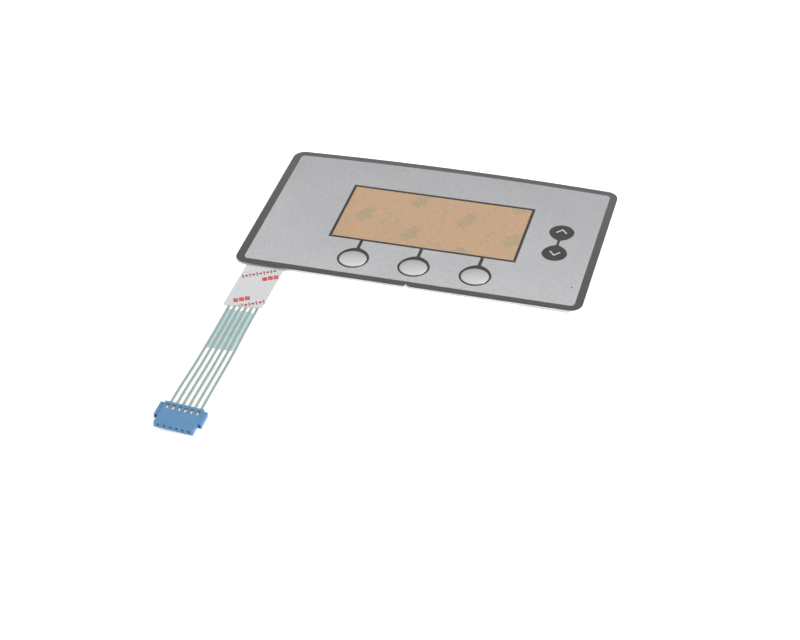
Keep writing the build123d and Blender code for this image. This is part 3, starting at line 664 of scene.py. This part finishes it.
def clearSheet(nodeName, pieceName, material):
    sheet = copyOfNode(nodeName, pieceName)
    startEdit(sheet, pick="SELECT")
    bpy.ops.transform.shrink_fatten(value=-sheetSizes["drawIn"] * mm)
    endEdit()
    paint(sheet, material)
    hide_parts(nodeName)
    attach(sheet, "root")


clearSheet("overlay_adhesive", "windowGlue", clearGlue)
clearSheet("circuit_film", "circuitFilm", clearCircuit)
print("clear sheets made")


# prints on the release papers, ragged like real ink on wax paper

patchSizes = {
    "thickness": 0.008,
    "lift": 0.002,  # above the paper
    "seed": 3,
    "blotCorners": 30,
    "blotPulls": ((4, 0.78), (7, 1.12), (11, 0.74)),  # every so many corners, in or out
}


def inkPatch(name, size, rag, cells=None):
    # a thin patch of ink round the origin, with a ragged outline: a blot, or a bar where cells are given
    bpy.ops.object.select_all(action="DESELECT")
    if cells:
        bpy.ops.mesh.primitive_grid_add(x_subdivisions=cells[0], y_subdivisions=cells[1], size=1.0)
    else:
        bpy.ops.mesh.primitive_circle_add(vertices=patchSizes["blotCorners"], radius=0.5, fill_type="NGON")
    patch = bpy.context.view_layer.objects.active
    patch.name = name
    patch.scale = (size[0] * mm, size[1] * mm, 1.0)
    settle(patch)
    startEdit(patch, "VERT")
    selectCorners(patch, lambda corner: corner.is_boundary)
    bpy.ops.transform.vertex_random(offset=rag * mm, seed=patchSizes["seed"])
    if not cells:
        for every, pull in patchSizes["blotPulls"]:
            selectCorners(patch, lambda corner: corner.index % every == 1)
            bpy.ops.transform.resize(value=(pull, pull, 1.0), center_override=(0.0, 0.0, 0.0))
        bpy.ops.mesh.select_all(action="SELECT")
    bpy.ops.transform.resize(value=(1.0, 1.0, 0.0), center_override=(0.0, 0.0, 0.0))
    bpy.ops.mesh.select_all(action="SELECT")
    bpy.ops.mesh.extrude_region_move(
        TRANSFORM_OT_translate={"value": (0.0, 0.0, patchSizes["thickness"] * mm)})
    bpy.ops.mesh.select_all(action="SELECT")
    bpy.ops.mesh.normals_make_consistent(inside=False)
    endEdit()
    return patch


def placedCopy(patch, x, y, z, turn):
    pickOnly(patch)
    bpy.ops.object.duplicate()
    placed = bpy.context.view_layer.objects.active
    placed.location = (x, y, z)
    placed.rotation_euler = (0.0, 0.0, radians(turn))
    settle(placed)
    return placed


def cutAway(piece, point, outward):
    startEdit(piece, pick="SELECT")
    bpy.ops.mesh.bisect(plane_co=point, plane_no=outward, use_fill=True, clear_outer=True)
    endEdit()


def finishPrint(piece, material, nodeName):
    paint(piece, material)
    if nodeName is not None:
        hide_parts(nodeName)
    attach(piece, "root")


windowPrintSizes = {
    "blot": (13.6, 7.0),
    "blotRag": 1.5,
    "row": (11.0, 1.7),
    "rowCells": (14, 2),
    "rowRag": 0.4,
    "rowApart": 4.6,
    "turn": 62,
    "first": (-7.6, -10.1),  # of the blots, from the window's middle
    "step": (23.6, -10.2),   # from one blot to the next, in two ways
    "rise": (22.0, 15.2),
    "repeats": 3,            # of the step and the rise, forward and back
    "reach": (64, 40),       # past this no blot is made
    "margin": 1.0,
}
windowLow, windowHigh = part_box("window_liner")
windowX = (windowLow.x + windowHigh.x) / 2
windowY = (windowLow.y + windowHigh.y) / 2
windowPrintZ = windowHigh.z + patchSizes["lift"] * mm
blot = inkPatch("blot", windowPrintSizes["blot"], windowPrintSizes["blotRag"])
fineRow = inkPatch("fineRow", windowPrintSizes["row"], windowPrintSizes["rowRag"],
                   windowPrintSizes["rowCells"])


def onWindow(patch, x, y):
    return placedCopy(patch, windowX + x * mm, windowY + y * mm, windowPrintZ, windowPrintSizes["turn"])


blots, fineRows = [], []
windowTurn = radians(windowPrintSizes["turn"])
repeats = range(-windowPrintSizes["repeats"], windowPrintSizes["repeats"] + 1)
for steps in repeats:
    for rises in repeats:
        x, y = (windowPrintSizes["first"][axis] + steps * windowPrintSizes["step"][axis]
                + rises * windowPrintSizes["rise"][axis] for axis in (0, 1))
        if abs(x) > windowPrintSizes["reach"][0] or abs(y) > windowPrintSizes["reach"][1]:
            continue
        blots.append(onWindow(blot, x, y))
        for between in (windowPrintSizes["step"], windowPrintSizes["rise"]):
            for line in (-0.5, 0.5):
                off = line * windowPrintSizes["rowApart"]
                fineRows.append(onWindow(fineRow, x + between[0] / 2 - off * sin(windowTurn),
                                         y + between[1] / 2 + off * cos(windowTurn)))
away(blot, fineRow)
windowPrint = joinAs("windowPrint", blots)
windowRows = joinAs("windowRows", fineRows)
inset = windowPrintSizes["margin"] * mm
for side in (-1, 1):
    edgeX = windowX + side * ((windowHigh.x - windowLow.x) / 2 - inset)
    edgeY = windowY + side * ((windowHigh.y - windowLow.y) / 2 - inset)
    for inked in (windowPrint, windowRows):
        cutAway(inked, (edgeX, windowY, windowPrintZ), (side, 0.0, 0.0))
        cutAway(inked, (windowX, edgeY, windowPrintZ), (0.0, side, 0.0))
finishPrint(windowPrint, greenMarks, "window_liner_marks")
finishPrint(windowRows, greenSpecks, None)

tailPrintSizes = {
    "block": (2.1, 2.6),
    "blockCells": (6, 7),
    "blockPitch": 2.5,
    "blockLean": -10,
    "blockGroups": ((4.7, -7.5, 3), (-2.5, -24.3, 3)),  # place of the middle and how many
    "stroke": (0.60, 2.4),
    "strokeCells": (3, 6),
    "dash": (1.3, 1.2),
    "dashCells": (4, 4),
    "strokePitch": 1.55,
    "strokeGroups": ((-1.2, -5.6, 10), (1.9, -26.8, 9)),
    "rag": 0.08,
    "turn": 29,
    "paperWidth": 17.0,
    "paperEndRise": 1.6,  # of the paper's slanted end, over its width
    "endMargin": 0.15,
}
paperLow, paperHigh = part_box("tail_liner")
tailPrintZ = paperHigh.z + patchSizes["lift"] * mm
tailTurn = radians(tailPrintSizes["turn"])
tailRag = tailPrintSizes["rag"]
block = inkPatch("block", tailPrintSizes["block"], tailRag, tailPrintSizes["blockCells"])
stroke = inkPatch("stroke", tailPrintSizes["stroke"], tailRag, tailPrintSizes["strokeCells"])
dash = inkPatch("dash", tailPrintSizes["dash"], tailRag, tailPrintSizes["dashCells"])


def slantedGroup(group, pitch, patches, lean=0):
    # a slanted line of patches, by turns, round its middle
    x, y, count = group
    made = []
    for n in range(count):
        along = (n - (count - 1) / 2) * pitch
        made.append(placedCopy(patches[n % len(patches)], tailX + (x + along * cos(tailTurn)) * mm,
                               frontY + (y + along * sin(tailTurn)) * mm, tailPrintZ,
                               tailPrintSizes["turn"] + lean))
    return made


bold, fine = [], []
for group in tailPrintSizes["blockGroups"]:
    bold += slantedGroup(group, tailPrintSizes["blockPitch"], [block], tailPrintSizes["blockLean"])
for group in tailPrintSizes["strokeGroups"]:
    fine += slantedGroup(group, tailPrintSizes["strokePitch"], [stroke, dash])
away(block, stroke, dash)
tailPrint = joinAs("tailPrint", bold)
tailRows = joinAs("tailRows", fine)
endNormal = Vector((tailPrintSizes["paperEndRise"], -tailPrintSizes["paperWidth"], 0.0)).normalized()
endPoint = Vector((paperLow.x, paperLow.y, tailPrintZ)) - endNormal * tailPrintSizes["endMargin"] * mm
cutAway(tailRows, endPoint, endNormal)
finishPrint(tailPrint, redMarks, "tail_liner_marks")
finishPrint(tailRows, rowMarks, None)
print("prints made")


# contacts: the crimped tines stand up into the hatches

crimpSizes = {
    "count": 6,
    "roll": 5.4,
    "reach": 5.0,       # of the crimp, forward from the housing's rear end
    "foot": 0.45,       # above the strip's underside
    "lift": 0.69,
    "stretch": 1.85,    # of the tines' tops, towards the rear
    "lengthwise": 1.0,  # an edge of the tops that is longer than this runs lengthwise
    "middle": 1.20,     # of the tops, back from their front ends
    "near": 0.05,       # how close to the middle its new corners lie
    "arch": 0.14,       # of the tops, from their ends to their middle
    "soften": 0.035,
    "softenSegments": 2,
    "softenAngle": 35,
    "smoothAngle": 40,
}
housingLow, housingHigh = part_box("connector_housing")
crimpUp = Vector((sin(radians(crimpSizes["roll"])), 0.0, cos(radians(crimpSizes["roll"]))))
crimpStart = housingHigh.y - crimpSizes["reach"] * mm


def standTines(contact):
    # lifts the tops, stretches them to the rear and arches their middle
    startEdit(contact, "VERT")
    mesh = bmesh.from_edit_mesh(contact.data)
    low = min(corner.co.dot(crimpUp) for corner in mesh.verts)
    foot = low + crimpSizes["foot"] * mm
    selectCorners(contact, lambda corner: corner.co.y > crimpStart and corner.co.dot(crimpUp) > foot)
    tops = [corner.co for corner in mesh.verts if corner.select]
    front = (sum(top.x for top in tops) / len(tops), min(top.y for top in tops), tops[0].z)
    bpy.ops.transform.translate(value=crimpUp * crimpSizes["lift"] * mm)
    bpy.ops.transform.resize(value=(1.0, crimpSizes["stretch"], 1.0), center_override=front)
    lengthwise = [edge for edge in mesh.edges if all(corner.select for corner in edge.verts)
                  and abs(edge.verts[0].co.y - edge.verts[1].co.y) > crimpSizes["lengthwise"] * mm]
    bpy.ops.mesh.select_all(action="DESELECT")
    for edge in lengthwise:
        edge.select_set(True)
    bmesh.update_edit_mesh(contact.data)
    bpy.ops.mesh.subdivide(number_cuts=1)
    lifted = low + (crimpSizes["foot"] + crimpSizes["lift"]) * mm
    middle = front[1] + crimpSizes["middle"] * mm
    selectCorners(contact, lambda corner: abs(corner.co.y - middle) < crimpSizes["near"] * mm
                  and corner.co.dot(crimpUp) > lifted)
    bpy.ops.transform.translate(value=crimpUp * crimpSizes["arch"] * mm)
    endEdit()


for number in range(1, crimpSizes["count"] + 1):
    contact = copyOfNode(f"contact_{number}", f"crimpedContact{number}")
    standTines(contact)
    addModifier(contact, "BEVEL", width=crimpSizes["soften"] * mm, segments=crimpSizes["softenSegments"],
                limit_method="ANGLE", angle_limit=radians(crimpSizes["softenAngle"]))
    smooth(contact, crimpSizes["smoothAngle"])
    paint(contact, tinnedMetal)
    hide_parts(f"contact_{number}")
    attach(contact, "root")
print("contacts made")


# receptacle housing with moulded edges

housingSizes = {
    "flatAngle": 0.5,  # neighbouring faces that turn by less become one
    "edge": 0.10,
    "edgeSegments": 2,
    "edgeAngle": 40,
    "sliver": 0.0005,  # the bevel leaves such slivers on narrow faces
    "smoothAngle": 35,
    "broadFaces": 80,  # how strongly they lead the shading, 50 is the usual
}
housing = copyOfNode("connector_housing", "receptacleHousing")
startEdit(housing, pick="SELECT")
bpy.ops.mesh.dissolve_limited(angle_limit=radians(housingSizes["flatAngle"]))
endEdit()
addModifier(housing, "BEVEL", width=housingSizes["edge"] * mm, segments=housingSizes["edgeSegments"],
            limit_method="ANGLE", angle_limit=radians(housingSizes["edgeAngle"]), use_clamp_overlap=True)
startEdit(housing, pick="SELECT")
bpy.ops.mesh.dissolve_degenerate(threshold=housingSizes["sliver"] * mm)
endEdit()
smooth(housing, housingSizes["smoothAngle"])
addModifier(housing, "WEIGHTED_NORMAL", keep_sharp=True, weight=housingSizes["broadFaces"])
paint(housing, bluePlastic)
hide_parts("connector_housing")
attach(housing, "root")
print("housing made")


# floor, world and lamp

studio = {
    "floorSide": 12.0,
    "floorCells": 12,
    "floorDrop": 0.0001,
    "floorShade": 0.94,
    "floorRoughness": 0.9,
    "floorGlow": 0.42,
    "skyShades": ((0.0, 0.34), (0.30, 0.30), (0.50, 0.30), (0.56, 0.36), (0.62, 0.85), (0.66, 1.15),
                  (1.0, 1.15)),  # from the horizon, 0, to straight up, 1, and the shade there
    "worldStrength": 0.80,
    "lampPower": 112.0,
    "lampSize": 1.6,
    "lampPlace": (3.3, -1.1, 1.25),
}
bpy.ops.object.select_all(action="DESELECT")
bpy.ops.mesh.primitive_grid_add(x_subdivisions=studio["floorCells"], y_subdivisions=studio["floorCells"],
                                size=studio["floorSide"], location=(0.0, 0.0, -studio["floorDrop"]))
floor = bpy.context.view_layer.objects.active
floor.name = "floor"
settle(floor)
floorMaterial = bpy.data.materials.new("pale floor")
floorMaterial.use_nodes = True
floorTree = floorMaterial.node_tree
floorShader = floorTree.nodes["Principled BSDF"]
floorShader.inputs["Base Color"].default_value = grey(studio["floorShade"])
floorShader.inputs["Roughness"].default_value = studio["floorRoughness"]
floorShader.inputs["Specular IOR Level"].default_value = 0.0
floorShader.inputs["Emission Color"].default_value = grey(1.0)
path = floorTree.nodes.new("ShaderNodeLightPath")
seen = path.outputs["Is Camera Ray"]
for ray in ("Is Glossy Ray", "Is Transmission Ray"):
    seen = mathOn(floorTree, "MAXIMUM", seen, path.outputs[ray])
glow = mathOn(floorTree, "MULTIPLY", seen, studio["floorGlow"])
floorTree.links.new(glow, floorShader.inputs["Emission Strength"])
floor.data.materials.append(floorMaterial)

# the sky of the studio: a broad bright ceiling that comes down at the sides, dim walls in front and behind
world = bpy.data.worlds.new("studio")
bpy.context.scene.world = world
world.use_nodes = True
worldTree = world.node_tree
sky = worldTree.nodes["Background"]
around = worldTree.nodes.new("ShaderNodeTexCoord")
across = worldTree.nodes.new("ShaderNodeVectorMath")
across.operation = "MULTIPLY"
across.inputs[1].default_value = (0.0, 1.0, 1.0)
upward = worldTree.nodes.new("ShaderNodeVectorMath")
upward.operation = "NORMALIZE"
worldTree.links.new(around.outputs["Generated"], across.inputs[0])
worldTree.links.new(across.outputs["Vector"], upward.inputs[0])
height = axisOf(worldTree, upward.outputs["Vector"], "Z")
shade = rampOf(worldTree, height, *[(stop, grey(level)) for stop, level in studio["skyShades"]])
worldTree.links.new(shade, sky.inputs["Color"])
sky.inputs["Strength"].default_value = studio["worldStrength"]

bpy.ops.object.select_all(action="DESELECT")
bpy.ops.object.light_add(type="AREA", location=studio["lampPlace"])
sideLamp = bpy.context.view_layer.objects.active
sideLamp.name = "sideLamp"
sideLamp.data.energy = studio["lampPower"]
sideLamp.data.size = studio["lampSize"]
sideLamp.rotation_euler = (-Vector(studio["lampPlace"])).to_track_quat("-Z", "Y").to_euler()
print("studio lit")
